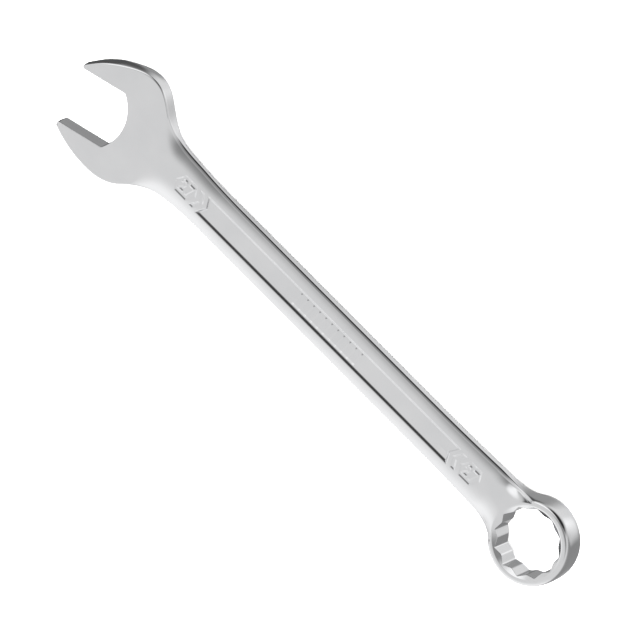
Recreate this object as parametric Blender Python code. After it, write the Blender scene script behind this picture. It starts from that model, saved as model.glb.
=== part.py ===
"""Combination wrench, 27 mm size, forged in one piece.

An open end turned 15 degrees in plan, a shank with a recessed panel on both faces, and a
12-point ring end offset 15 degrees.  The three objects are regions of that one forging.
X runs along the shank from the open end to the ring end, Y is across it, Z is up, and the
wrench lies on Z = 0 on the open end's ground face and the near edge of the ring.
"""
import math

import bmesh
import bpy
from mathutils import Matrix, Vector

MM = 0.001

# Driving dimensions
ACROSS_FLATS = 27.0 * MM
REGION_GAP = 0.3 * MM

HEAD_CENTRE_X = -114.7 * MM
HEAD_THICKNESS = 8.7 * MM
JAW_ANGLE = math.radians(15)
HEAD_HALF_WIDTH = 26.5 * MM
HEAD_WIDEST = 2.0 * MM          # along the jaw axis, from the head's centre
HEAD_REACH = 32.5 * MM          # from the widest place to the apex of the head's ellipse
THROAT_DEPTH = 1.8 * MM         # along the jaw axis, from the head's centre
THROAT_RADIUS = 19.5 * MM
HEAD_EDGE_BEVEL = 0.5 * MM

UPPER_SHOULDER_RADIUS = 16.0 * MM
UPPER_FLANK_ANGLE = math.radians(39)
UPPER_NECK_RADIUS = 26.0 * MM
LOWER_SHOULDER_RADIUS = 22.0 * MM
LOWER_FLANK_ANGLE = math.radians(45)
LOWER_NECK_RADIUS = 24.0 * MM
FLAT_END_RADIUS = 50.0 * MM     # arc where the ground face of the head stops
FLAT_END_SETBACK = 16.0 * MM    # behind the head's centre, along the jaw axis

SHANK_HALF_WIDTH = 10.25 * MM
SHANK_EDGE_HALF_HEIGHT = 3.1 * MM
SHANK_CROWN = 0.6 * MM
SHANK_EDGE_CHAMFER = 0.6 * MM
SECTION_BLEND_END_X = -78.0 * MM
PANEL_START_X = -69.5 * MM
PANEL_END_X = 80.1 * MM
PANEL_NOTCH = 2.2 * MM          # how far each end wall points into the panel
PANEL_HALF_WIDTH = 4.2 * MM
PANEL_DEPTH = 1.2 * MM
PANEL_WALL_RUN = 0.46           # outward run of the panel's wall for each unit of depth
MARK_DEPTH = 0.4 * MM
MARK_HALF_WIDTH = 4.3 * MM
HEXAGON_MARKS_X = ((-85.2 * MM, -73.7 * MM), (84.9 * MM, 96.0 * MM))
CHEVRON_MARKS_X = ((-74.0 * MM, -71.6 * MM, 2.3 * MM), (84.7 * MM, 82.4 * MM, -2.2 * MM))

RING_CENTRE_X = 128.4 * MM
RING_RISE = 6.23 * MM           # ring's centre above the shank's mid plane
RING_OFFSET = math.radians(15)
RING_THICKNESS = 13.5 * MM
RING_RADIUS = 19.1 * MM         # at the bulge of the outer wall
RIM_RADIUS = 17.2 * MM
RIM_ROUND = 1.5 * MM
POINTS = 12
MOUTH_RADIUS = 16.0 * MM
MOUTH_CHAMFER_DEPTH = 1.3 * MM
NECK_START_X = 106.0 * MM
NECK_SIDE_START_X = 101.4 * MM
NECK_SIDE_RADIUS = 26.0 * MM
NECK_LENGTH = 11.0 * MM
NECK_END_CHAMFER = 2.4 * MM
NECK_CLIMB = 90.0               # rise of the neck's top for each metre squared, towards the rim
NECK_BELOW_RIM = 1.2 * MM

MID_Z = HEAD_THICKNESS / 2
TO_ORIGIN = (-0.42 * MM, 0.915 * MM, 0.0)  # brings the middle of the outline onto the origin
ARC_STEP = math.radians(6)
TOP_SEGMENTS = 11


def clear_scene():
    for obj in list(bpy.data.objects):
        bpy.data.objects.remove(obj, do_unlink=True)


def satin_chrome():
    material = bpy.data.materials.new("satin_chrome")
    material.use_nodes = True
    shader = material.node_tree.nodes["Principled BSDF"]
    shader.inputs["Base Color"].default_value = (0.70, 0.71, 0.72, 1.0)
    shader.inputs["Metallic"].default_value = 1.0
    shader.inputs["Roughness"].default_value = 0.28
    return material


def object_from(bm, name, material=None):
    """Close the bmesh into a named object whose faces point outwards."""
    bmesh.ops.recalc_face_normals(bm, faces=bm.faces)
    bmesh.ops.translate(bm, verts=bm.verts, vec=TO_ORIGIN)
    mesh = bpy.data.meshes.new(name)
    bm.to_mesh(mesh)
    bm.free()
    obj = bpy.data.objects.new(name, mesh)
    bpy.context.collection.objects.link(obj)
    if material:
        mesh.materials.append(material)
        mesh.shade_smooth()
        mesh.set_sharp_from_angle(angle=math.radians(32))
    return obj


def boolean(target, cutter, operation):
    cutter.hide_render = True
    cutter.display_type = "WIRE"
    modifier = target.modifiers.new(f"{operation.lower()}_{cutter.name}", "BOOLEAN")
    modifier.operation = operation
    modifier.solver = "EXACT"
    modifier.object = cutter


def skin(loops, bent_start=False):
    """A closed solid through loops that all have the same number of points.

    A first loop that isn't flat is closed with upright strips instead of one face.
    """
    bm = bmesh.new()
    rings = [[bm.verts.new(point) for point in loop] for loop in loops]
    count = len(rings[0])
    for ring, following in zip(rings, rings[1:]):
        for i in range(count):
            j = (i + 1) % count
            bm.faces.new((ring[i], ring[j], following[j], following[i]))
    bm.faces.new(rings[-1])
    first = rings[0]
    if bent_start:
        for i in range(count // 2 - 1):
            bm.faces.new((first[i], first[i + 1], first[-i - 2], first[-i - 1]))
    else:
        bm.faces.new(first)
    return bm


def prism(outline, low, high):
    """An upright solid over a plan outline."""
    return skin([[(x, y, z) for x, y in outline] for z in (low, high)])


def arc(centre, radius, start, end):
    """Plan points along a circular arc, both ends included."""
    steps = max(1, math.ceil(abs(end - start) / ARC_STEP))
    angles = [start + (end - start) * k / steps for k in range(steps + 1)]
    return [Vector((centre[0] + radius * math.cos(a), centre[1] + radius * math.sin(a))) for a in angles]


# ---------------------------------------------------------------- open end

JAW_OUT = Vector((-math.cos(JAW_ANGLE), -math.sin(JAW_ANGLE)))
JAW_UP = Vector((-math.sin(JAW_ANGLE), math.cos(JAW_ANGLE)))
HEAD_CENTRE = Vector((HEAD_CENTRE_X, 0.0))


def in_jaw(out, up):
    """Plan point at a distance along the jaw axis and across it, from the head's centre."""
    return HEAD_CENTRE + JAW_OUT * out + JAW_UP * up


def jaw_outline_side(side):
    """The head's outer ellipse from its widest place to the jaw's tip, on one side."""
    meets_face = math.asin(ACROSS_FLATS / 2 / HEAD_HALF_WIDTH)
    steps = 12
    angles = [math.pi / 2 + (meets_face - math.pi / 2) * k / steps for k in range(steps)]
    ellipse = [
        in_jaw(HEAD_WIDEST + HEAD_REACH * math.cos(a), side * HEAD_HALF_WIDTH * math.sin(a)) for a in angles
    ]
    tip_angle = angles[-1] + (meets_face - angles[-1]) * 0.55
    blunt = in_jaw(
        HEAD_WIDEST + HEAD_REACH * math.cos(tip_angle), side * HEAD_HALF_WIDTH * math.sin(tip_angle)
    )
    tip = in_jaw(HEAD_WIDEST + HEAD_REACH * math.cos(meets_face) - 0.6 * MM, side * ACROSS_FLATS / 2)
    return ellipse + [blunt, tip]


def shoulder(side, radius, flank_angle):
    """Convex arc that takes the head from its widest place to the straight flank."""
    start = in_jaw(HEAD_WIDEST, side * HEAD_HALF_WIDTH)
    centre = start - JAW_UP * side * radius
    first = math.atan2(JAW_UP.y * side, JAW_UP.x * side)
    last = side * (math.pi / 2 - flank_angle)
    return arc(centre, radius, first, last)


UPPER_SHOULDER = shoulder(1, UPPER_SHOULDER_RADIUS, UPPER_FLANK_ANGLE)
LOWER_SHOULDER = shoulder(-1, LOWER_SHOULDER_RADIUS, LOWER_FLANK_ANGLE)


def neck_half_width(x, shoulder_end, flank_angle, radius):
    """Distance from the shank's axis to its edge where the flank and its fillet join the shank."""
    rise = abs(shoulder_end.y) - SHANK_HALF_WIDTH
    meets_x = shoulder_end.x + rise / math.tan(flank_angle)
    tangent = radius * math.tan(flank_angle / 2)
    if x <= meets_x - tangent * math.cos(flank_angle):
        return SHANK_HALF_WIDTH + (meets_x - x) * math.tan(flank_angle)
    if x >= meets_x + tangent:
        return SHANK_HALF_WIDTH
    return SHANK_HALF_WIDTH + radius - math.sqrt(radius**2 - (meets_x + tangent - x) ** 2)


def upper_edge(x):
    return neck_half_width(x, UPPER_SHOULDER[-1], UPPER_FLANK_ANGLE, UPPER_NECK_RADIUS)


def lower_edge(x):
    return -neck_half_width(x, LOWER_SHOULDER[-1], LOWER_FLANK_ANGLE, LOWER_NECK_RADIUS)


FLAT_END_CENTRE = in_jaw(FLAT_END_RADIUS - FLAT_END_SETBACK, 0)


def flat_end_x(y, gap=0.0):
    """Where the ground face stops, at a distance y across the wrench."""
    return FLAT_END_CENTRE.x + math.sqrt((FLAT_END_RADIUS + gap) ** 2 - (y - FLAT_END_CENTRE.y) ** 2)


def flat_end_meets(edge, gap=0.0):
    """Plan point where the flat's end arc crosses one edge of the neck."""
    y = edge(flat_end_x(0.0))
    for _ in range(40):
        y = 0.5 * y + 0.5 * edge(flat_end_x(y, gap))
    return Vector((flat_end_x(y, gap), y))


def open_end_outline():
    """Anticlockwise plan of the head, from the lower jaw's root round to the flat's end arc."""
    half = ACROSS_FLATS / 2
    sweep = math.asin(half / THROAT_RADIUS)
    centre = in_jaw(THROAT_DEPTH + THROAT_RADIUS, 0)
    out_angle = math.atan2(JAW_OUT.y, JAW_OUT.x) + math.pi
    throat = arc(centre, THROAT_RADIUS, out_angle + sweep, out_angle - sweep)
    if (throat[0] - in_jaw(0, half)).length > (throat[-1] - in_jaw(0, half)).length:
        throat.reverse()
    upper = jaw_outline_side(1)
    lower = jaw_outline_side(-1)
    start = flat_end_meets(upper_edge)
    end = flat_end_meets(lower_edge)
    steps = 10
    ys = [end.y + (start.y - end.y) * k / steps for k in range(1, steps)]
    back = [Vector((flat_end_x(y), y)) for y in ys]
    path = [start] + UPPER_SHOULDER[::-1] + upper[1:] + throat + lower[:0:-1]
    return path + LOWER_SHOULDER + [end] + back


def make_open_end(material):
    bm = prism([tuple(p) for p in open_end_outline()], 0.0, HEAD_THICKNESS)
    bmesh.ops.remove_doubles(bm, verts=bm.verts, dist=0.01 * MM)
    head = object_from(bm, "open_end_head", material)
    bevel = head.modifiers.new("edge_round", "BEVEL")
    bevel.width = HEAD_EDGE_BEVEL
    bevel.segments = 2
    bevel.limit_method = "ANGLE"
    bevel.angle_limit = math.radians(60)
    return head


# ------------------------------------------------------------------- shank


def smooth(value, low, high):
    t = min(1.0, max(0.0, (value - low) / (high - low)))
    return t * t * (3 - 2 * t)


def section(x_of, low, high, edge_half_height, crown, chamfer=SHANK_EDGE_CHAMFER, raise_top=0.0):
    """One closed cross-section: crowned top and bottom, upright sides, chamfered edges.

    The points go over the top and back under the bottom, so the first and last are paired.
    """
    middle = (low + high) / 2
    reach = (high - low) / 2 - chamfer
    fractions = [2 * k / TOP_SEGMENTS - 1 for k in range(TOP_SEGMENTS + 1)]
    faces = [(middle + f * reach, edge_half_height + crown * (1 - f * f)) for f in fractions]
    top = [(y, MID_Z + z + raise_top) for y, z in faces]
    bottom = [(y, MID_Z - z) for y, z in reversed(faces)]
    side_top = MID_Z + edge_half_height - chamfer + raise_top
    side_bottom = MID_Z - edge_half_height + chamfer
    over = [(low, side_top)] + top + [(high, side_top)]
    under = [(high, side_bottom)] + bottom + [(low, side_bottom)]
    return [(x_of(y), y, z) for y, z in over + under]


def ring_end_half_width(x):
    if x <= NECK_SIDE_START_X:
        return SHANK_HALF_WIDTH
    along = x - NECK_SIDE_START_X
    return SHANK_HALF_WIDTH + NECK_SIDE_RADIUS - math.sqrt(NECK_SIDE_RADIUS**2 - along**2)


def shank_section(x):
    blend = smooth(x, flat_end_x(0.0), SECTION_BLEND_END_X)
    edge_half_height = HEAD_THICKNESS / 2 + (SHANK_EDGE_HALF_HEIGHT - HEAD_THICKNESS / 2) * blend
    low = min(lower_edge(x), -ring_end_half_width(x))
    high = max(upper_edge(x), ring_end_half_width(x))
    return section(lambda y: x, low, high, edge_half_height, SHANK_CROWN * blend)


def first_shank_section():
    """The section bent to the arc where the head's ground face stops."""
    low = flat_end_meets(lower_edge, REGION_GAP).y
    high = flat_end_meets(upper_edge, REGION_GAP).y
    return section(lambda y: flat_end_x(y, REGION_GAP), low, high, HEAD_THICKNESS / 2, 0.0)


def panel_cutter(side):
    """Tapered tool for the recessed panel on the top (1) or bottom (-1) face."""
    top = SHANK_EDGE_HALF_HEIGHT + SHANK_CROWN
    loops = []
    for height in (top - PANEL_DEPTH, top + 2 * MM):
        run = (height - top + PANEL_DEPTH) * PANEL_WALL_RUN
        half = PANEL_HALF_WIDTH + run
        start, end = PANEL_START_X - run, PANEL_END_X + run
        outline = [
            (start, -half),
            (end, -half),
            (end - PANEL_NOTCH, 0),
            (end, half),
            (start, half),
            (start + PANEL_NOTCH, 0),
        ]
        loops.append([(x, y, MID_Z + side * height) for x, y in outline])
    return object_from(skin(loops), "panel_tool")


def hexagon_outline(start, end):
    """Hexagon that frames the size on a real wrench, with two of its points on the shank's axis."""
    half = MARK_HALF_WIDTH
    run = half * math.tan(math.pi / 6)
    upper = [(end, 0), (end - run, half), (start + run, half)]
    return upper + [(-x + start + end, -y) for x, y in upper]


def chevron_outline(corner, apex, width):
    """Arrow-shaped groove next to the panel: its edges are parallel to the hexagon's."""
    half = MARK_HALF_WIDTH
    near = [(corner, -half), (apex, 0), (corner, half)]
    return near + [(x + width, y) for x, y in reversed(near)]


def mark_cutter(outline, side):
    top = SHANK_EDGE_HALF_HEIGHT + SHANK_CROWN
    heights = sorted(MID_Z + side * h for h in (top - MARK_DEPTH, top + 2 * MM))
    return object_from(prism(outline, *heights), "mark_tool")


def make_shank(material):
    neck = [x * MM for x in (-94, -91, -88, -85, -82, -79)]
    straight = [x * MM for x in (-76, -40, 0, 40, 78, 100, 103)]
    loops = [first_shank_section()] + [shank_section(x) for x in neck + straight]
    loops.append(shank_section(NECK_START_X - REGION_GAP))
    shank = object_from(skin(loops, bent_start=True), "shank", material)
    marks = [hexagon_outline(*ends) for ends in HEXAGON_MARKS_X]
    marks += [chevron_outline(*shape) for shape in CHEVRON_MARKS_X]
    for side in (1, -1):
        boolean(shank, panel_cutter(side), "DIFFERENCE")
        for outline in marks:
            boolean(shank, mark_cutter(outline, side), "DIFFERENCE")
    return shank


# ---------------------------------------------------------------- ring end

RING_CENTRE = Vector((RING_CENTRE_X, 0, MID_Z + RING_RISE))
RING_FRAME = Matrix.Translation(RING_CENTRE) @ Matrix.Rotation(-RING_OFFSET, 4, "Y")


def turned(profile, steps):
    """A solid of revolution about the ring's axis, from (radius, height) pairs that start and end on it."""
    bm = bmesh.new()
    low = bm.verts.new((0, 0, profile[0][1]))
    high = bm.verts.new((0, 0, profile[-1][1]))
    rings = []
    for radius, height in profile[1:-1]:
        angles = [2 * math.pi * k / steps for k in range(steps)]
        rings.append([bm.verts.new((radius * math.cos(a), radius * math.sin(a), height)) for a in angles])
    for k in range(steps):
        j = (k + 1) % steps
        bm.faces.new((low, rings[0][j], rings[0][k]))
        bm.faces.new((high, rings[-1][k], rings[-1][j]))
        for ring, following in zip(rings, rings[1:]):
            bm.faces.new((ring[k], ring[j], following[j], following[k]))
    bm.transform(RING_FRAME)
    return bm


def ring_wall_profile():
    """Outer wall of the ring: rounded rims and a bulge between them."""
    half = RING_THICKNESS / 2
    low_round = [
        (RIM_RADIUS - RIM_ROUND * (1 - math.sin(a)), -half + RIM_ROUND * (1 - math.cos(a)))
        for a in (0, math.pi / 6, math.pi / 3)
    ]
    bulge_half = half - RIM_ROUND
    bulge = []
    for k in range(7):
        height = bulge_half * (2 * k / 6 - 1)
        out = (RING_RADIUS - RIM_RADIUS) * math.sqrt(max(0.0, 1 - (height / (half * 1.02)) ** 2))
        bulge.append((RIM_RADIUS + out, height))
    high_round = [(radius, -height) for radius, height in reversed(low_round)]
    return [(0, -half)] + low_round + bulge + high_round + [(0, half)]


def star_radius(angle):
    """Distance to the wall of the 12-point hole: two hexagons turned 30 degrees to each other."""
    pitch = 2 * math.pi / POINTS
    from_notch = abs((angle + pitch / 2) % pitch - pitch / 2)
    return ACROSS_FLATS / 2 / math.cos(math.pi / 6 - from_notch)


def hole_tool():
    """The 12-point hole with a lead-in cone at each mouth, as one solid."""
    half = RING_THICKNESS / 2
    narrowest = star_radius(math.pi / POINTS) - 0.1 * MM
    steps = 6 * POINTS
    loops = []
    levels = (0.0, 0.35, 0.7, 1.0)
    heights = [half - MOUTH_CHAMFER_DEPTH * (1 - level) for level in levels] + [half + 3 * MM]
    for height in [-h for h in reversed(heights)] + heights:
        level = 1 - (half - abs(height)) / MOUTH_CHAMFER_DEPTH
        cone = narrowest + (MOUTH_RADIUS - narrowest) * level
        loop = []
        for k in range(steps):
            angle = 2 * math.pi * k / steps
            radius = max(star_radius(angle), cone)
            loop.append(RING_FRAME @ Vector((radius * math.cos(angle), radius * math.sin(angle), height)))
        loops.append(loop)
    return object_from(skin(loops), "hole_tool")


def neck_rise(x):
    """How far the neck's top has climbed above the shank's top, kept under the ring's rim."""
    along = x - NECK_START_X
    slope = math.tan(RING_OFFSET)
    rim = RING_RISE + RING_THICKNESS / 2 / math.cos(RING_OFFSET) + (x - RING_CENTRE_X) * slope
    limit = rim - NECK_BELOW_RIM - SHANK_EDGE_HALF_HEIGHT - SHANK_CROWN
    return min(along * slope + NECK_CLIMB * along**2, limit)


def neck_section(x):
    half = ring_end_half_width(x)
    along = (x - NECK_START_X) / NECK_LENGTH
    chamfer = SHANK_EDGE_CHAMFER + (NECK_END_CHAMFER - SHANK_EDGE_CHAMFER) * along
    return section(
        lambda y: x, -half, half, SHANK_EDGE_HALF_HEIGHT, SHANK_CROWN, chamfer, raise_top=neck_rise(x)
    )


def make_ring_head(material):
    ring = object_from(turned(ring_wall_profile(), 72), "ring_head", material)
    loops = [neck_section(NECK_START_X + NECK_LENGTH * k / 8) for k in range(9)]
    boolean(ring, object_from(skin(loops), "ring_neck_tool"), "UNION")
    boolean(ring, hole_tool(), "DIFFERENCE")
    return ring


def main():
    clear_scene()
    material = satin_chrome()
    make_open_end(material)
    make_shank(material)
    make_ring_head(material)


main()
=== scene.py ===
"""Looks for the combination wrench: one continuous satin chrome forging on a pale floor.

Shapes are worked out in millimetres in the shank's own frame: X along the shank from the open
end to the ring, Y across it, and Z measured from its middle plane.
"""

import math

import bmesh
import bpy
import numpy as np
from mathutils import Matrix, Vector


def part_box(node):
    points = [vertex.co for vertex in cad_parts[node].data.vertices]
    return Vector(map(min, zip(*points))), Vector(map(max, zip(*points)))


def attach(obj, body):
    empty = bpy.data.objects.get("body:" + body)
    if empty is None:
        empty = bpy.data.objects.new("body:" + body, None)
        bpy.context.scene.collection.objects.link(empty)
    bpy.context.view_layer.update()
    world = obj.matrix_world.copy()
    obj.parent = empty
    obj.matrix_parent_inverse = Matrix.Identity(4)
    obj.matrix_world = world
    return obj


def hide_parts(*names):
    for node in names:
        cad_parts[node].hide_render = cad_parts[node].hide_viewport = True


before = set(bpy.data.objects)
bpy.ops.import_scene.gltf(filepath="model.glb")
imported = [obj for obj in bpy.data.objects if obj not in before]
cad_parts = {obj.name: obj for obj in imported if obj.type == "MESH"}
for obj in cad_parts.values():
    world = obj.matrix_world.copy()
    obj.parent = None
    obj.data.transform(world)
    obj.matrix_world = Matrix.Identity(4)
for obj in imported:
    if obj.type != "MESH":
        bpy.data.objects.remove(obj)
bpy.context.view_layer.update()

MM = 0.001
SIZE = 27.0

# Open end
HEAD_X = -114.62
HEAD_HALF = 4.35
JAW_ANGLE = math.radians(15)
THROAT_DEPTH = 1.8
THROAT_RADIUS = 19.4
FACE_END_RADIUS = 50.0
FACE_END_SETBACK = 16.0
HEAD_ROUND = 0.6
INNER_ROUND = 0.25
UPPER_BULGE = 1.6               # how far the jaws' outer walls swell at mid-height
LOWER_BULGE = 0.4
TIP_BULGE = 0.8
BULGE_POWER = 1.35
UPPER_TIP_RADIUS = 0.9
LOWER_TIP_RADIUS = 1.3
LOWER_TIP_LENGTH = 1.2          # of the lower outline, given up to the tip's round
FACE_BORDER = 0.3               # width of the row of faces round the ground face

# Shank
SHANK_HALF_WIDTH = 10.5
SHANK_EDGE_HEIGHTS = ((-88, 2.05), (-79, 1.95), (-52, 2.5), (-20, 2.65), (50, 2.6), (98.4, 2.35))
SHANK_MIDDLE_HEIGHT = 3.3
SHANK_ROUND = 1.3
SHANK_FLARE = 0.7               # added to the half width where the ring's neck starts
SHANK_FLARE_X = 60.0
SHANK_OFFSET = -0.45            # sideways, off the line between the heads, fading out at both ends
OFFSET_STARTS = (-102.0, -70.0)
OFFSET_STOPS = (98.0, 124.0)
OUTLINES_END_X = -60.0          # the two outlines give the edges before this, a formula after it
NECK_END_X = -88.0
NECK_LENGTH = 19.0
PANEL_FLOOR = 2.15
PANEL_HALF = 4.85
PANEL_WALL = 0.8
PANEL_ENDS = (-70.0, 80.6)
PANEL_NOTCH = 2.4
PANEL_END_SLANT = 0.89          # cosine of the end walls' slant
MARK_HALF = 4.3
MARK_DEPTH = 0.42
MARK_WALL = 0.35
HEXAGONS = ((-85.2, -73.7), (84.9, 96.0))
CHEVRONS = ((-74.1, -71.65, 2.3), (84.8, 82.35, -2.3))
DIGIT_WIDTH = 2.8
DIGIT_HEIGHT = 4.5
DIGIT_RISE = 0.4
DIGIT_SHIFT = 1.75              # of each digit from the hexagon's middle
STROKE_HALF_WIDTH = 0.18
STROKE_FOOT = 0.52              # half width where a stroke meets the floor
BAR_FIRST_X = -13.0
BAR_PITCH = 3.6
BAR_COUNT = 11
BAR_HALF_WIDTH = 0.5
BAR_HALF_HEIGHT = 3.1
BAR_RISE = 0.36
BAR_WALL = 0.15                 # half the width of a bar's sloping side
BAR_END_WALL = 0.6

# Ring end
RING_X = 128.5
RING_Z = 6.23
RING_TILT = math.radians(15)
RING_TOP = 6.75
RING_BOTTOM = -7.2
RING_RADIUS = 19.1
RIM_RADIUS = 16.8
BASE_RADIUS = 17.8
MOUTH_RADIUS = 15.75
CONE_DEPTH = 1.35
HOLE_INSET = 0.15               # how far each flat of the hole stands inside its true place
NOTCH_ROUND = math.radians(1.8)
TOOTH_ROUND = math.radians(2.5)
HALF_POINT = math.radians(15)   # from a notch of the hole to the next tooth
NECK_JOIN_X = 98.4
NECK_JOIN_SPREAD = math.radians(52.5)
SHOULDER_LIFT = 1.2
RING_REACH_X = 147.56           # where the ring's far side is

# Mesh
SIDE_ROWS = 20
ROUND_ROWS = 6
NECK_ROWS = 18
TIP_STEPS = 12
FLOOR_CLEARANCE = 0.005

# Camera
CAMERA_TILT = math.radians(26.576)
CAMERA_LEAN = math.radians(1.721)
CAMERA_ROLL = math.radians(45.095)
CAMERA_LENS = 128.1
CAMERA_DISTANCE = 963.6
CAMERA_AIM_Y = -1.07


# ------------------------------------------------------------ plan curves


def unit(v):
    return v / np.linalg.norm(v, axis=-1, keepdims=True)


def outward(tangents):
    """Normals on the right of the direction of travel."""
    return np.stack([tangents[..., 1], -tangents[..., 0]], axis=-1)


class Spline:
    """Natural cubic spline through plan points, by chord length."""

    def __init__(self, points):
        self.p = np.array(points, float)
        steps = np.linalg.norm(np.diff(self.p, axis=0), axis=1)
        self.t = np.concatenate([[0], np.cumsum(steps)])
        n = len(self.p)
        matrix, right = np.eye(n), np.zeros((n, 2))
        for i in range(1, n - 1):
            a, b = steps[i - 1], steps[i]
            matrix[i, i - 1 : i + 2] = a, 2 * (a + b), b
            right[i] = 6 * ((self.p[i + 1] - self.p[i]) / b - (self.p[i] - self.p[i - 1]) / a)
        self.m = np.linalg.solve(matrix, right)
        self.length = self.t[-1]

    def at(self, t):
        """Points and outward normals at the given distances."""
        t = np.atleast_1d(np.asarray(t, float))
        i = np.clip(np.searchsorted(self.t, t) - 1, 0, len(self.t) - 2)
        h = (self.t[i + 1] - self.t[i])[:, None]
        b = (t - self.t[i])[:, None]
        a = h - b
        m0, m1, p0, p1 = self.m[i], self.m[i + 1], self.p[i], self.p[i + 1]
        q0, q1 = p0 / h - m0 * h / 6, p1 / h - m1 * h / 6
        point = (m0 * a**3 + m1 * b**3) / (6 * h) + q0 * a + q1 * b
        slope = (m1 * b**2 - m0 * a**2) / (2 * h) - q0 + q1
        return point, outward(unit(slope))


JAW_OUT = np.array([-math.cos(JAW_ANGLE), -math.sin(JAW_ANGLE)])
JAW_UP = np.array([-math.sin(JAW_ANGLE), math.cos(JAW_ANGLE)])
HEAD = np.array([HEAD_X, 0.0])


def jaw(out, up):
    return HEAD + JAW_OUT * out + JAW_UP * up


UPPER = Spline(
    [
        (-60, 10.5),
        (-70, 10.7),
        (-80, 11.2),
        (-88, 11.6),
        (-95.5, 12.8),
        jaw(-15.3, 13.2),
        jaw(-10.8, 19.4),
        jaw(-6.8, 23.6),
        jaw(-1.5, 26.0),
        jaw(6.0, 25.8),
        jaw(14.0, 23.4),
        jaw(22.0, 19.9),
        jaw(28.2, 15.5),
    ]
)
LOWER = Spline(
    [
        jaw(30.4, -14.9),
        jaw(24.7, -19.0),
        jaw(16.8, -23.1),
        jaw(8.4, -25.8),
        jaw(0.5, -26.4),
        jaw(-6.0, -24.5),
        jaw(-11.5, -21.5),
        (-94.5, -15.7),
        (-88, -13.1),
        (-80, -11.6),
        (-70, -10.8),
        (-60, -10.5),
    ]
)
FACE_END = jaw(FACE_END_RADIUS - FACE_END_SETBACK, 0)


def face_end_x(y):
    return FACE_END[0] + np.sqrt(FACE_END_RADIUS**2 - (y - FACE_END[1]) ** 2)


def find(function, low, high):
    """Where a rising or falling function crosses zero."""
    sign = 1 if function(high) > 0 else -1
    for _ in range(50):
        middle = (low + high) / 2
        if sign * function(middle) > 0:
            high = middle
        else:
            low = middle
    return (low + high) / 2


def inside_round(curve, t):
    """Where the ground face starts, inside the rounded edge."""
    point, normal = curve.at(t)
    return point[0] - normal[0] * HEAD_ROUND


def beyond_face_end(curve, t):
    return np.linalg.norm(inside_round(curve, t) - FACE_END) - FACE_END_RADIUS


def at_x(curve, x, low, high):
    return find(lambda t: curve.at(t)[0][0, 0] - x, low, high)


UPPER_NECK = at_x(UPPER, NECK_END_X, 0, 40)
UPPER_ARC = find(lambda t: beyond_face_end(UPPER, t), UPPER_NECK, UPPER_NECK + 25)
LOWER_NECK = at_x(LOWER, NECK_END_X, LOWER.length - 35, LOWER.length)
LOWER_ARC = find(lambda t: beyond_face_end(LOWER, t), LOWER_NECK - 22, LOWER_NECK)
FACE_HIGH = inside_round(UPPER, UPPER_ARC)
FACE_LOW = inside_round(LOWER, LOWER_ARC)


def rounded_corner(point_a, heading_a, point_b, heading_b, radius, steps):
    """Arc that turns left from one line to another and touches both; points and normals."""
    left_a = np.array([-heading_a[1], heading_a[0]])
    left_b = np.array([-heading_b[1], heading_b[0]])
    gap = (point_b + left_b * radius) - (point_a + left_a * radius)
    along = np.linalg.solve(np.stack([heading_a, -heading_b], axis=1), gap)[0]
    centre = point_a + left_a * radius + heading_a * along
    cross = heading_a[0] * heading_b[1] - heading_a[1] * heading_b[0]
    turn = math.atan2(cross, np.dot(heading_a, heading_b)) % (2 * math.pi)
    angles = math.atan2(-left_a[1], -left_a[0]) + np.linspace(0, turn, steps)
    normals = np.stack([np.cos(angles), np.sin(angles)], axis=1)
    return centre + radius * normals, normals


def heading_of(normal):
    return np.array([-normal[1], normal[0]])


def outline_piece(points, normals, bulge, edge_round):
    """A stretch of wall: how far it swells at mid-height and how round its edges are."""
    shape = np.zeros(len(points))
    return points, normals, shape + bulge, shape + edge_round


def throat():
    """The curve that ends the opening: points, normals, and its start along the jaw."""
    sweep = math.asin(SIZE / 2 / THROAT_RADIUS)
    centre = jaw(THROAT_DEPTH + THROAT_RADIUS, 0)
    angles = sweep * np.linspace(1, -1, 41)
    normals = np.array([JAW_OUT * math.cos(a) - JAW_UP * math.sin(a) for a in angles])
    start = THROAT_DEPTH + THROAT_RADIUS * (1 - math.cos(sweep))
    return centre - normals * THROAT_RADIUS, normals, start


def opening_pieces():
    """The opening's flat walls, its corners and the throat, from the upper jaw to the lower."""
    arc, arc_normals, start = throat()
    flats, corners = [], []
    for side, arc_normal in ((1, arc_normals[0]), (-1, arc_normals[-1])):
        normal = -side * JAW_UP
        outs = np.array([22.0, 16.0, 11.0, start + 0.8, start + 0.12])[::side]
        line = np.array([jaw(out, side * SIZE / 2) for out in outs])
        normals = np.repeat(normal[None], len(line), axis=0)
        corner = jaw(start, side * SIZE / 2)[None]
        flats.append(outline_piece(line, normals, 0, INNER_ROUND))
        corners.append(outline_piece(corner, unit(normal + arc_normal)[None], 0, INNER_ROUND))
    curve = outline_piece(arc[1:-1], arc_normals[1:-1], 0, INNER_ROUND)
    return [flats[0], corners[0], curve, corners[1], flats[1]]


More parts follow.
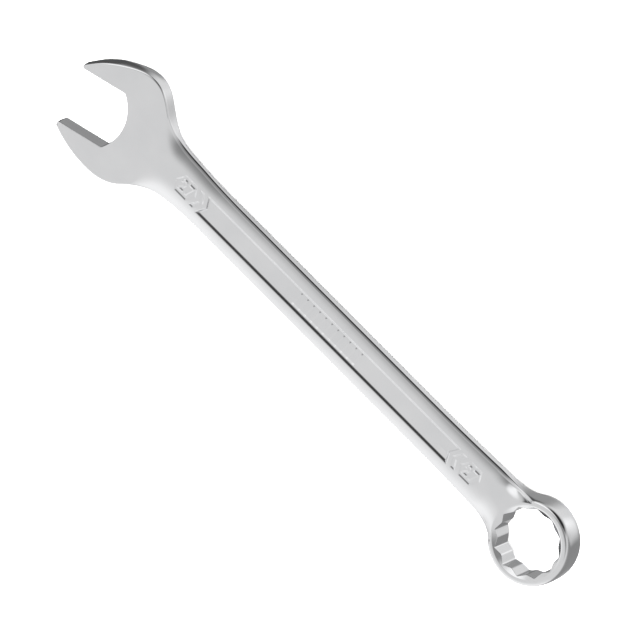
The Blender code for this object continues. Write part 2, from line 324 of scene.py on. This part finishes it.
def head_outline():
    """The open end's wall from the upper neck, round both jaws, to the lower neck."""
    along = np.linspace(0, 1, 60)
    upper, upper_normals = UPPER.at(UPPER_ARC + (UPPER.length - UPPER_ARC) * along)
    lower, lower_normals = LOWER.at(LOWER_TIP_LENGTH + (LOWER_ARC - LOWER_TIP_LENGTH) * along)
    upper_bulge = UPPER_BULGE * soft(ramp(along, 0.2, 0.7)) * (1 - 0.7 * soft(ramp(along, 0.65, 1.0)))
    near_tip = 1 - soft(ramp(along, 0, 0.25))
    lower_bulge = LOWER_BULGE * (1 - soft(ramp(along, 0.55, 0.85)))
    lower_bulge = lower_bulge + (TIP_BULGE - LOWER_BULGE) * near_tip
    upper_heading, lower_heading = heading_of(upper_normals[-1]), heading_of(lower_normals[0])
    upper_inner, lower_inner = jaw(0, SIZE / 2), jaw(0, -SIZE / 2)
    upper_tip = rounded_corner(upper[-1], upper_heading, upper_inner, -JAW_OUT, UPPER_TIP_RADIUS, TIP_STEPS)
    lower_tip = rounded_corner(lower_inner, JAW_OUT, lower[0], lower_heading, LOWER_TIP_RADIUS, TIP_STEPS)
    tip = np.linspace(1, 0, TIP_STEPS)
    tip_round = INNER_ROUND + (HEAD_ROUND - INNER_ROUND) * tip
    pieces = [
        outline_piece(upper, upper_normals, upper_bulge, HEAD_ROUND),
        outline_piece(*upper_tip, upper_bulge[-1] * tip, tip_round),
        *opening_pieces(),
        outline_piece(*lower_tip, TIP_BULGE * tip[::-1], tip_round[::-1]),
        outline_piece(lower, lower_normals, lower_bulge, HEAD_ROUND),
    ]
    return [np.concatenate(part) for part in zip(*pieces)]


# ---------------------------------------------------------------- heights


def ramp(value, low, high):
    return np.clip((value - low) / (high - low), 0, 1)


def soft(value):
    return value * value * (3 - 2 * value)


def neck_progress(x, y):
    """0 where the ground face stops, 1 where the shank's plain section starts."""
    return np.clip((x - face_end_x(np.clip(y, -20, 20))) / NECK_LENGTH, 0, 1)


def shank_edge_height(x):
    """Height of the shank's long edges: lowest just behind the head, and low again at the ring."""
    z = np.full(np.shape(x), SHANK_EDGE_HEIGHTS[0][1])
    for (x0, z0), (x1, z1) in zip(SHANK_EDGE_HEIGHTS, SHANK_EDGE_HEIGHTS[1:]):
        z = z + (z1 - z0) * soft(ramp(x, x0, x1))
    return z


def edge_height(x, s):
    return HEAD_HALF + (shank_edge_height(x) - HEAD_HALF) * (1 - (1 - np.clip(s * 1.9, 0, 1)) ** 2)


def plain_height(x, y, half_width):
    """Height of the forged face above the middle plane, before any mark is sunk in it."""
    s = neck_progress(x, y)
    middle = HEAD_HALF + (SHANK_MIDDLE_HEIGHT - HEAD_HALF) * (1 - (1 - s) ** 2)
    across = np.abs(y) / half_width
    return middle - (middle - edge_height(x, s)) * across ** (3.2 - 0.3 * s)


def hexagon_inside(x, y, start, end):
    """Distance inside a hexagon's outline, negative outside it."""
    reach = (end - start) / 2 - np.abs(x - (start + end) / 2)
    slanted = reach * math.cos(math.pi / 6) - np.abs(y) * 0.5
    return np.minimum(MARK_HALF - np.abs(y), slanted)


def chevron_inside(x, y, corner, apex, width):
    line = apex + (corner - apex) * np.abs(y) / MARK_HALF
    low, high = np.minimum(line, line + width), np.maximum(line, line + width)
    slanted = np.minimum(x - low, high - x) * math.cos(math.pi / 6)
    return np.minimum(MARK_HALF - np.abs(y), slanted)


def panel_inside(x, y):
    notch = PANEL_NOTCH * (1 - np.abs(y) / PANEL_HALF)
    slanted = np.minimum(x - PANEL_ENDS[0] - notch, PANEL_ENDS[1] - notch - x) * PANEL_END_SLANT
    return np.minimum(PANEL_HALF - np.abs(y), slanted)


# Strokes of the digits, as fractions of a digit's width and height
TWO_HOOK = ((-0.42, 0.24), (-0.34, 0.42), (-0.14, 0.5), (0.12, 0.49), (0.33, 0.38), (0.36, 0.2), (0.24, 0.0))
TWO = TWO_HOOK + ((-0.42, -0.5), (0.42, -0.5))
SEVEN = ((-0.4, 0.5), (0.42, 0.5), (-0.08, -0.5))


def stroke_distance(x, y, points):
    best = np.full(x.shape, 1e9)
    for (ax, ay), (bx, by) in zip(points, points[1:]):
        dx, dy = bx - ax, by - ay
        t = np.clip(((x - ax) * dx + (y - ay) * dy) / (dx * dx + dy * dy), 0, 1)
        best = np.minimum(best, np.hypot(x - ax - t * dx, y - ay - t * dy))
    return best


def raised_number(x, y, centre):
    """The size, 27, standing up from the floor of its hexagon."""
    best = np.full(x.shape, 1e9)
    for shape, shift in ((TWO, -DIGIT_SHIFT), (SEVEN, DIGIT_SHIFT)):
        points = [(centre + shift + px * DIGIT_WIDTH, py * DIGIT_HEIGHT) for px, py in shape]
        best = np.minimum(best, stroke_distance(x, y, points))
    return DIGIT_RISE * (1 - soft(ramp(best, STROKE_HALF_WIDTH, STROKE_FOOT)))


def raised_bars(x, y):
    """A plain row of upright bars in the middle of the panel."""
    along = (x - BAR_FIRST_X) / BAR_PITCH
    index = np.round(along)
    inside = (index >= 0) & (index < BAR_COUNT)
    sideways = BAR_HALF_WIDTH - np.abs(along - index) * BAR_PITCH
    endways = soft(ramp(BAR_HALF_HEIGHT - np.abs(y), -BAR_END_WALL, BAR_END_WALL))
    shape = ramp(sideways, -BAR_WALL, BAR_WALL) * endways
    return np.where(inside, BAR_RISE * shape, 0.0)


def height(x, y, half_width):
    """Height of the finished face: forged surface, sunk panel and marks, raised figures."""
    z = plain_height(x, y, half_width)
    panel = ramp(panel_inside(x, y), 0, PANEL_WALL)
    z = z + (PANEL_FLOOR - z) * panel
    z = z + np.where(panel >= 1, raised_bars(x, y), 0.0)
    for start, end in HEXAGONS:
        inside = ramp(hexagon_inside(x, y, start, end), 0, MARK_WALL)
        z = z - (MARK_DEPTH - raised_number(x, y, (start + end) / 2)) * inside
    for corner, apex, width in CHEVRONS:
        z = z - MARK_DEPTH * ramp(chevron_inside(x, y, corner, apex, width), 0, MARK_WALL)
    return z


# ------------------------------------------------------------------ mesh


class Builder:
    """Collects grids of points and welds them into one mesh."""

    def __init__(self):
        self.points, self.faces = [], []

    def add(self, grid):
        """Stores an array of points and returns their numbers in the same arrangement."""
        grid = np.asarray(grid, float)
        first = len(self.points)
        self.points.extend(grid.reshape(-1, 3).tolist())
        return first + np.arange(grid.size // 3).reshape(grid.shape[:-1])

    def quads(self, rows, flip=False):
        a, b, c, d = rows[:-1, :-1], rows[:-1, 1:], rows[1:, 1:], rows[1:, :-1]
        faces = np.stack([a, b, c, d], axis=-1).reshape(-1, 4)
        self.faces.extend((faces[:, ::-1] if flip else faces).tolist())

    def stitch(self, first, second, flip=False):
        """Triangles between two open rows that may have different numbers of points."""
        i = j = 0
        while i < len(first) - 1 or j < len(second) - 1:
            go_first = j == len(second) - 1 or (
                i < len(first) - 1 and (i + 1) / (len(first) - 1) <= (j + 1) / (len(second) - 1)
            )
            third = first[i + 1] if go_first else second[j + 1]
            face = [int(first[i]), int(second[j]), int(third)]
            self.faces.append(face[::-1] if flip else face)
            i, j = (i + 1, j) if go_first else (i, j + 1)

    def polygon(self, loop):
        self.faces.append([int(k) for k in loop])

    def build(self, name, place):
        mesh = bpy.data.meshes.new(name)
        mesh.from_pydata([place(p) for p in self.points], [], self.faces)
        bm = bmesh.new()
        bm.from_mesh(mesh)
        bmesh.ops.remove_doubles(bm, verts=bm.verts, dist=0.002 * MM)
        bmesh.ops.recalc_face_normals(bm, faces=bm.faces)
        for face in bm.faces:
            face.smooth = len(face.verts) <= 4  # the ground faces, with many corners, stay flat
        bm.to_mesh(mesh)
        bm.free()
        obj = bpy.data.objects.new(name, mesh)
        bpy.context.collection.objects.link(obj)
        return obj


def side_rows(point, normal, top, bottom, radius, bulge=0.0):
    """Rows from the top face's edge over its round, down the wall, to the bottom face's edge."""
    angles = np.linspace(0, math.pi / 2, ROUND_ROWS + 1)
    inset = radius * (1 - np.sin(angles))
    drop = radius * (1 - np.cos(angles))
    wall = np.linspace(top - radius, bottom + radius, SIDE_ROWS - 2 * ROUND_ROWS + 1)[1:-1]
    insets = np.concatenate([inset, np.zeros(len(wall)), inset[::-1]])
    heights = np.concatenate([top - drop, wall, (bottom + drop)[::-1]])
    insets = insets - bulge * (1 - np.abs(heights / top) ** BULGE_POWER)
    plan = point - normal * insets[:, None]
    return np.column_stack([plan, heights])


OUTER_FRACTIONS = np.array([0.1, 0.22, 0.35, 0.5, 0.65, 0.78, 0.88, 0.95, 1.0])
INNER_YS = np.concatenate([np.arange(-20, 21) * 0.2, [4.2, 4.4, 4.6, 4.8, 4.95]])
INNER_YS = np.unique(np.round(np.concatenate([INNER_YS, -INNER_YS]), 4))


def columns_between(low, high):
    """Places of the columns across the shank, dense where the marks are."""
    reach = INNER_YS[-1]
    upper = reach + (high - reach) * OUTER_FRACTIONS
    lower = -reach + (low + reach) * OUTER_FRACTIONS[::-1]
    return np.concatenate([lower, INNER_YS, upper])


def shank_half_width(x):
    return SHANK_HALF_WIDTH + SHANK_FLARE * ramp(x, SHANK_FLARE_X, NECK_JOIN_X) ** 2


def edges_at(x):
    """Wall points and normals of both edges at a place along the shank."""
    if x < OUTLINES_END_X:
        upper = UPPER.at(at_x(UPPER, x, 0, UPPER_NECK + 1))
        lower = LOWER.at(at_x(LOWER, x, LOWER_NECK - 1, LOWER.length))
        return (upper[0][0], upper[1][0]), (lower[0][0], lower[1][0])
    half = shank_half_width(x)
    slope = (shank_half_width(x + 0.01) - half) / 0.01
    normal = unit(np.array([-slope, 1.0]))
    return (np.array([x, half]), normal), (np.array([x, -half]), normal * (1, -1))


class Station:
    """One cross-section: both faces and both sides, sharing their edge points."""

    def __init__(self, upper, lower, progress, columns=None):
        radius = HEAD_ROUND + (SHANK_ROUND - HEAD_ROUND) * soft(progress)
        high = upper[0] - upper[1] * radius
        low = lower[0] - lower[1] * radius
        ys = columns_between(low[1], high[1]) if columns is None else low[1] + (high[1] - low[1]) * columns
        f = (ys - low[1]) / (high[1] - low[1])
        xs = low[0] + (high[0] - low[0]) * f + self.bulge(f) * (1 - progress)
        half_width = np.where(ys >= 0, high[1], -low[1])
        zs = height(xs, ys, half_width)
        self.top = np.column_stack([xs, ys, zs])
        self.bottom = np.column_stack([xs, ys, -zs])
        self.upper_side = side_rows(*upper, zs[-1], -zs[-1], radius)
        self.lower_side = side_rows(*lower, zs[0], -zs[0], radius)

    @staticmethod
    def bulge(f):
        """How far the end of the ground face reaches beyond the chord between its ends."""
        y = FACE_LOW[1] + (FACE_HIGH[1] - FACE_LOW[1]) * f
        return face_end_x(y) - (FACE_LOW[0] + (FACE_HIGH[0] - FACE_LOW[0]) * f)


def neck_stations():
    """Sections from the end of the ground face to the shank's plain part."""
    stations = []
    for s in soft(np.linspace(0, 1, 17)) * 0.5 + np.linspace(0, 1, 17) * 0.5:
        upper = UPPER.at(UPPER_ARC + (UPPER_NECK - UPPER_ARC) * s)
        lower = LOWER.at(LOWER_ARC + (LOWER_NECK - LOWER_ARC) * s)
        stations.append(Station((upper[0][0], upper[1][0]), (lower[0][0], lower[1][0]), s))
    return stations


def shank_places():
    """Where the shank's sections are: close together at the marks and bars, sparse elsewhere."""
    bars = BAR_FIRST_X + BAR_PITCH * np.arange(BAR_COUNT)
    foot, top = BAR_HALF_WIDTH + BAR_WALL, BAR_HALF_WIDTH - BAR_WALL
    edges = np.array([-foot, -top, top, foot])
    parts = [
        np.arange(NECK_END_X + 0.4, -86, 0.4),
        np.arange(-86, -66, 0.2),
        np.arange(-66, -16, 4.0),
        [bars[0] - 1.3, bars[0] - 0.9],
        (bars[:, None] + edges).ravel(),
        [bars[-1] + 0.9, bars[-1] + 1.3],
        np.arange(27, 76, 4.0),
        np.arange(76.6, 97.3, 0.2),
    ]
    return np.concatenate(parts)


def build_strip(builder, stations):
    """Skins the faces and sides between consecutive sections; returns the last one's rows."""
    top = builder.add(np.array([s.top for s in stations]))
    bottom = builder.add(np.array([s.bottom for s in stations]))
    upper = builder.add(np.array([s.upper_side for s in stations]))
    lower = builder.add(np.array([s.lower_side for s in stations]))
    builder.quads(top)
    builder.quads(bottom, flip=True)
    builder.quads(upper)
    builder.quads(lower)
    return top, bottom


def build_head(builder, first):
    """Side wall of the open end and its two flat ground faces."""
    points, normals, bulges, rounds = head_outline()
    walls = zip(points, normals, rounds, bulges)
    rows = [side_rows(p, n, HEAD_HALF, -HEAD_HALF, r, b) for p, n, r, b in walls]
    builder.quads(builder.add(np.array(rows)))
    support = points - normals * (rounds + FACE_BORDER)[:, None]
    for z, arc, row in ((HEAD_HALF, first.top, 0), (-HEAD_HALF, first.bottom, -1)):
        inner = np.column_stack([support, np.full(len(support), z)])
        inner[0], inner[-1] = arc[-2], arc[1]
        outer = np.array([r[row] for r in rows])
        outer_row, inner_row = builder.add(outer), builder.add(inner)
        builder.quads(np.array([outer_row, inner_row]))
        arc_row = builder.add(arc[1:-1])
        builder.polygon(np.concatenate([inner_row, arc_row[1:-1]]))


# -------------------------------------------------------------- ring end

RING_ORIGIN = np.array([RING_X, 0.0, RING_Z])
RING_OUT = np.array([math.cos(RING_TILT), 0.0, math.sin(RING_TILT)])
RING_UP = np.array([-math.sin(RING_TILT), 0.0, math.cos(RING_TILT)])
ACROSS = np.array([0.0, 1.0, 0.0])


def ring_point(radius, angle, z):
    radius, angle, z = np.broadcast_arrays(np.asarray(radius, float), angle, z)
    along = (radius * np.cos(angle))[..., None] * RING_OUT + (radius * np.sin(angle))[..., None] * ACROSS
    return RING_ORIGIN + along + z[..., None] * RING_UP


def ring_direction(across_out, across_y):
    return np.asarray(across_out)[..., None] * RING_OUT + np.asarray(across_y)[..., None] * ACROSS


HALF_PITCH = np.radians([0, 0.6, 1.2, 1.8, 4.5, 7.5, 10.5, 12.5, 13.3, 14.2])
PITCH = np.concatenate([HALF_PITCH, [HALF_POINT], 2 * HALF_POINT - HALF_PITCH[:0:-1]])
RING_ANGLES = np.concatenate([PITCH + math.radians(30 * k) for k in range(12)])
RING_ANGLES = np.append(RING_ANGLES, 2 * math.pi)


def star_radius(angle):
    """The 12-point hole's wall, its notches and teeth slightly rounded."""
    pitch = 2 * HALF_POINT
    a = np.abs((angle + HALF_POINT) % pitch - HALF_POINT)
    flat = (SIZE / 2 - HOLE_INSET) / np.cos(pitch - a)
    notch = 4.5 * NOTCH_ROUND * np.clip(1 - a / NOTCH_ROUND, 0, None) ** 2
    tooth = 1.87 * TOOTH_ROUND * np.clip(1 - (HALF_POINT - a) / TOOTH_ROUND, 0, None) ** 2
    return flat - notch + tooth


def outer_rows(angle):
    """The ring's outer wall from the top rim's edge, over the bulge, to the bottom rim's edge."""
    turn = np.linspace(0, math.pi, SIDE_ROWS + 1)
    above = turn < math.pi / 2
    start = np.where(above, RIM_RADIUS, BASE_RADIUS)
    radius = start + (RING_RADIUS - start) * np.sin(turn) ** 0.55
    z = np.where(above, RING_TOP, RING_BOTTOM) * np.abs(np.cos(turn)) ** 0.65
    return ring_point(radius, angle, z)


def inner_rows(angle):
    """From the top rim's edge over the rim, down the lead-in cone and the hole's wall, and out below."""
    star = float(star_radius(angle))
    edge = RING_TOP - 0.07
    slope = (MOUTH_RADIUS - star_radius(HALF_POINT)) / CONE_DEPTH
    foot = edge - (MOUTH_RADIUS - star) / slope
    rim = [(RIM_RADIUS - 0.2, RING_TOP), (MOUTH_RADIUS + 0.1, RING_TOP)]
    steps = (0.0, 0.1, 0.5, 0.9, 1.0)
    cone = [(MOUTH_RADIUS + (star - MOUTH_RADIUS) * k, edge + (foot - edge) * k) for k in steps]
    wall = [(star, foot - 0.12), (star, foot - 1.5), (star, 0.0)]
    upper = rim + cone + wall
    lower = [(radius, z * RING_BOTTOM / RING_TOP) for radius, z in upper[-2::-1]]
    base = [(BASE_RADIUS - 0.2, RING_BOTTOM), (BASE_RADIUS, RING_BOTTOM)]
    rows = [(RIM_RADIUS, RING_TOP)] + upper + lower + base
    return ring_point([r for r, _ in rows], angle, np.array([z for _, z in rows]))


def hermite(a, tangent_a, b, tangent_b, steps):
    t = np.linspace(0, 1, steps + 1)[:, None, None]
    t2, t3 = t * t, t * t * t
    start = a * (2 * t3 - 3 * t2 + 1) + tangent_a * (t3 - 2 * t2 + t)
    return start + b * (3 * t2 - 2 * t3) + tangent_b * (t3 - t2)


def bridge(a, b, slopes, arrivals, pull_a, pull_b):
    """Rows that leave the shank's last section along it and land on the ring tangentially."""
    reach = np.linalg.norm(b - a, axis=1, keepdims=True)
    leave = unit(np.column_stack([np.ones(len(a)), slopes, np.zeros(len(a))]))
    return hermite(a, leave * reach * pull_a, b, arrivals * reach * pull_b, NECK_ROWS)


def neck_arrivals(joined, f):
    """How the neck meets the ring: level directions, and the lift that makes its shoulder."""
    edge_weight = np.abs(2 * f - 1) ** 3
    around = np.sign(f - 0.5)
    inward = ring_direction(-np.cos(joined), -np.sin(joined))
    along = ring_direction(around * np.sin(joined), -around * np.cos(joined))
    level = inward * (1 - edge_weight)[:, None] + along * edge_weight[:, None]
    lift = RING_UP * (SHOULDER_LIFT * np.abs(2 * f - 1) ** 1.5)[:, None]
    return edge_weight[:, None], level, lift


def build_neck(builder, joined, f):
    """Faces and sides from the shank to the ring; f runs from 0 to 1 across the neck."""
    upper, lower = edges_at(NECK_JOIN_X)
    section = Station(upper, lower, 1.0, f)
    edge_slope = -upper[1][0] / upper[1][1]
    edge_weight, level, lift = neck_arrivals(joined, f)
    pull_b = 0.45 + 0.55 * edge_weight
    pull_a = 1.25 - 0.25 * edge_weight
    slopes = edge_slope * (2 * f - 1)
    rim = ring_point(RIM_RADIUS, joined, RING_TOP)
    base = ring_point(BASE_RADIUS, joined, RING_BOTTOM)
    for start, end, rise in ((section.top, rim, lift), (section.bottom, base, -lift)):
        builder.quads(builder.add(bridge(start, end, slopes, unit(level + rise), pull_a, pull_b)))
    for side, end, sign in ((section.upper_side, -1, 1), (section.lower_side, 0, -1)):
        wall = outer_rows(joined[end])
        arrivals = unit(level[end] + lift[end] * np.linspace(1, -1, len(wall))[:, None])
        rows = bridge(side, wall, np.full(len(side), sign * edge_slope), arrivals, 1.0, 1.0)
        builder.quads(builder.add(rows))
    return section


def build_ring(builder):
    """The ring, open where the neck joins it, and the neck; returns the neck's first section."""
    low, high = math.pi - NECK_JOIN_SPREAD, math.pi + NECK_JOIN_SPREAD
    before, after = RING_ANGLES <= low + 1e-6, RING_ANGLES >= high - 1e-6
    joined = RING_ANGLES[(RING_ANGLES >= low - 1e-6) & (RING_ANGLES <= high + 1e-6)][::-1]
    builder.quads(builder.add(np.array([inner_rows(a) for a in RING_ANGLES])))
    for angles in (RING_ANGLES[before], RING_ANGLES[after]):
        builder.quads(builder.add(np.array([outer_rows(a) for a in angles])))
    return build_neck(builder, joined, (high - joined) / (high - low))


# ------------------------------------------------------------- assembly

head_low, head_high = (Vector(corner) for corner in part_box("open_end_head"))
ring_low, ring_high = (Vector(corner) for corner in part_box("ring_head"))
AXIS_Y = (ring_low.y + ring_high.y) / 2
MIDDLE_Z = (head_low.z + head_high.z) / 2


def to_world(p):
    """From the shank's frame, in millimetres, to the part's own frame; nothing goes below the floor."""
    x, y, z = p
    shank = soft(ramp(x, *OFFSET_STARTS)) * (1 - soft(ramp(x, *OFFSET_STOPS)))
    y = y + SHANK_OFFSET * shank
    z = max(z, FLOOR_CLEARANCE - HEAD_HALF)
    return (ring_high.x + (x - RING_REACH_X) * MM, AXIS_Y + y * MM, MIDDLE_Z + z * MM)


def build_forging():
    builder = Builder()
    neck = neck_stations()
    shank = [Station(*edges_at(x), 1.0) for x in shank_places()]
    build_head(builder, neck[0])
    top, bottom = build_strip(builder, neck + shank)
    section = build_ring(builder)
    builder.stitch(top[-1], builder.add(section.top))
    builder.stitch(bottom[-1], builder.add(section.bottom))
    last = shank[-1]
    for side in ("upper_side", "lower_side"):
        builder.quads(builder.add(np.array([getattr(last, side), getattr(section, side)])))
    return builder.build("wrench_forging", to_world)


# -------------------------------------------------------------- material


def add_node(tree, kind, values=None, **settings):
    node = tree.nodes.new(kind)
    for name, value in settings.items():
        setattr(node, name, value)
    for socket, value in (values or {}).items():
        node.inputs[socket].default_value = value
    return node


def noise(tree, where, scale, detail, roughness=0.5):
    node = add_node(tree, "ShaderNodeTexNoise", {"Scale": scale, "Detail": detail, "Roughness": roughness})
    tree.links.new(where, node.inputs["Vector"])
    return node.outputs["Fac"]


def remap(tree, value, low, high, to_low, to_high, shape="LINEAR"):
    values = {"From Min": low, "From Max": high, "To Min": to_low, "To Max": to_high}
    node = add_node(tree, "ShaderNodeMapRange", values, interpolation_type=shape)
    tree.links.new(value, node.inputs["Value"])
    return node.outputs["Result"]


def combine(tree, operation, first, second):
    node = add_node(tree, "ShaderNodeMath", operation=operation)
    for socket, value in zip(node.inputs, (first, second)):
        if isinstance(value, (int, float)):
            socket.default_value = value
        else:
            tree.links.new(value, socket)
    return node.outputs[0]


def satin_chrome():
    """Tumbled satin chrome: a fine grain, faint cloudiness, and edges rubbed a little brighter."""
    material = bpy.data.materials.new("satin_chrome")
    material.use_nodes = True
    tree = material.node_tree
    shader = tree.nodes["Principled BSDF"]
    shader.inputs["Metallic"].default_value = 1.0
    where = add_node(tree, "ShaderNodeTexCoord").outputs["Object"]
    cloud = noise(tree, where, 60, 3)
    grain = noise(tree, where, 3200, 2, 0.6)
    speck = noise(tree, where, 900, 3, 0.6)
    pointiness = add_node(tree, "ShaderNodeNewGeometry").outputs["Pointiness"]
    rubbed = remap(tree, pointiness, 0.52, 0.6, 0, 1)
    cloudy = remap(tree, cloud, 0.3, 0.7, 0.0, 0.5)
    tone = combine(tree, "ADD", cloudy, combine(tree, "MULTIPLY", rubbed, 0.5))
    ramp_node = add_node(tree, "ShaderNodeValToRGB")
    ramp_node.color_ramp.elements[0].color = (0.745, 0.75, 0.76, 1)
    ramp_node.color_ramp.elements[1].color = (0.83, 0.83, 0.835, 1)
    tree.links.new(tone, ramp_node.inputs["Fac"])
    tree.links.new(ramp_node.outputs["Color"], shader.inputs["Base Color"])
    patches = remap(tree, cloud, 0.3, 0.7, 0.1, 0.14)
    rough = combine(tree, "ADD", patches, remap(tree, speck, 0.3, 0.7, -0.02, 0.02))
    rough = combine(tree, "SUBTRACT", rough, combine(tree, "MULTIPLY", rubbed, 0.06))
    tree.links.new(rough, shader.inputs["Roughness"])
    bump = add_node(tree, "ShaderNodeBump", {"Strength": 0.12, "Distance": 0.00002})
    tree.links.new(combine(tree, "ADD", grain, speck), bump.inputs["Height"])
    tree.links.new(bump.outputs["Normal"], shader.inputs["Normal"])
    return material


# ----------------------------------------------------------------- stage

# A pale tent, darker towards the floor, with round panels in it. Each panel has its azimuth (0 along
# +X, 90 along +Y), its elevation, the angles from its middle where it starts and finishes fading,
# and the brightness that it adds, all in degrees but the last.
TENT_LIGHT = 0.80
GROUND_LIGHT = 0.60
PANELS = [
    (90, 60, 10, 45, -0.50),    # the opening that the camera looks through
    (90, 0, 15, 40, -0.75),     # a black flag below the camera, for the dark lines along the walls
    (-90, 0, 30, 65, 0.35),     # a white panel behind the wrench
    (180, -50, 30, 50, -0.50),  # a black flag on the floor beyond the open end
    (0, -30, 30, 50, -0.30),    # a black flag beyond the ring
    (135, 30, 15, 35, 0.40),    # a white panel beside the camera
    (45, -45, 8, 22, 0.40),     # a white strip low beside the ring, for the walls of its hole
    (90, -70, 20, 40, 0.25),    # the pale floor close by, along the near side of the shank
]


def light_world():
    """The tent and its panels, which the chrome reflects."""
    world = bpy.data.worlds.new("studio")
    bpy.context.scene.world = world
    world.use_nodes = True
    tree = world.node_tree
    direction = add_node(tree, "ShaderNodeTexCoord").outputs["Generated"]
    height = add_node(tree, "ShaderNodeSeparateXYZ")
    tree.links.new(direction, height.inputs[0])
    total = remap(tree, height.outputs["Z"], -0.5, 0.2, GROUND_LIGHT, TENT_LIGHT, "SMOOTHSTEP")
    for azimuth, elevation, inside, outside, brightness in PANELS:
        turn, rise = math.radians(azimuth), math.radians(elevation)
        axis = (math.cos(turn) * math.cos(rise), math.sin(turn) * math.cos(rise), math.sin(rise))
        facing = add_node(tree, "ShaderNodeVectorMath", operation="DOT_PRODUCT")
        tree.links.new(direction, facing.inputs[0])
        facing.inputs[1].default_value = axis
        edges = math.cos(math.radians(outside)), math.cos(math.radians(inside))
        lobe = remap(tree, facing.outputs["Value"], *edges, 0, brightness, "SMOOTHSTEP")
        total = combine(tree, "ADD", lobe, total)
    background = tree.nodes["Background"]
    tree.links.new(combine(tree, "MAXIMUM", total, 0.02), background.inputs["Strength"])
    background.inputs["Color"].default_value = (1, 1, 1, 1)


def light_floor():
    """A wide soft light overhead for the floor only."""
    data = bpy.data.lights.new("overhead", "AREA")
    data.shape, data.size, data.energy = "DISK", 2.2, 120.0
    lamp = bpy.data.objects.new("overhead", data)
    lamp.location = (-0.1, -0.15, 1.3)
    lamp.visible_glossy = False
    bpy.context.collection.objects.link(lamp)


def make_floor():
    mesh = bpy.data.meshes.new("floor")
    mesh.from_pydata([(-3, -3, 0), (3, -3, 0), (3, 3, 0), (-3, 3, 0)], [], [(0, 1, 2, 3)])
    floor = bpy.data.objects.new("floor", mesh)
    bpy.context.collection.objects.link(floor)
    material = bpy.data.materials.new("pale_floor")
    material.use_nodes = True
    shader = material.node_tree.nodes["Principled BSDF"]
    shader.inputs["Base Color"].default_value = (0.93, 0.93, 0.93, 1)
    shader.inputs["Roughness"].default_value = 0.9
    mesh.materials.append(material)
    floor.visible_glossy = False


def make_camera():
    """Looks down from the wrench's +Y side, with the wrench lying across the picture's diagonal."""
    across = Vector((0, math.cos(CAMERA_TILT), -math.sin(CAMERA_TILT)))
    back = Vector((0, math.sin(CAMERA_TILT), math.cos(CAMERA_TILT)))
    along = Vector((1, 0, 0)) * math.cos(CAMERA_LEAN) - back * math.sin(CAMERA_LEAN)
    back = back * math.cos(CAMERA_LEAN) + Vector((1, 0, 0)) * math.sin(CAMERA_LEAN)
    right = along * math.cos(CAMERA_ROLL) + across * math.sin(CAMERA_ROLL)
    up = across * math.cos(CAMERA_ROLL) - along * math.sin(CAMERA_ROLL)
    data = bpy.data.cameras.new("camera")
    data.lens, data.sensor_width = CAMERA_LENS, 36.0
    data.clip_start, data.clip_end = 0.05, 20.0
    camera = bpy.data.objects.new("camera", data)
    camera.matrix_world = Matrix((right, up, back)).transposed().to_4x4()
    aim = Vector((ring_high.x - RING_REACH_X * MM, AXIS_Y + CAMERA_AIM_Y * MM, MIDDLE_Z))
    camera.location = aim + back * (CAMERA_DISTANCE * MM)
    bpy.context.collection.objects.link(camera)
    bpy.context.scene.camera = camera


# ------------------------------------------------------------------ make

wrench = build_forging()
wrench.data.materials.append(satin_chrome())
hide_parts("open_end_head", "shank", "ring_head")
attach(wrench, "root")

make_floor()
light_world()
light_floor()
make_camera()
bpy.context.scene.view_settings.view_transform = "Standard"
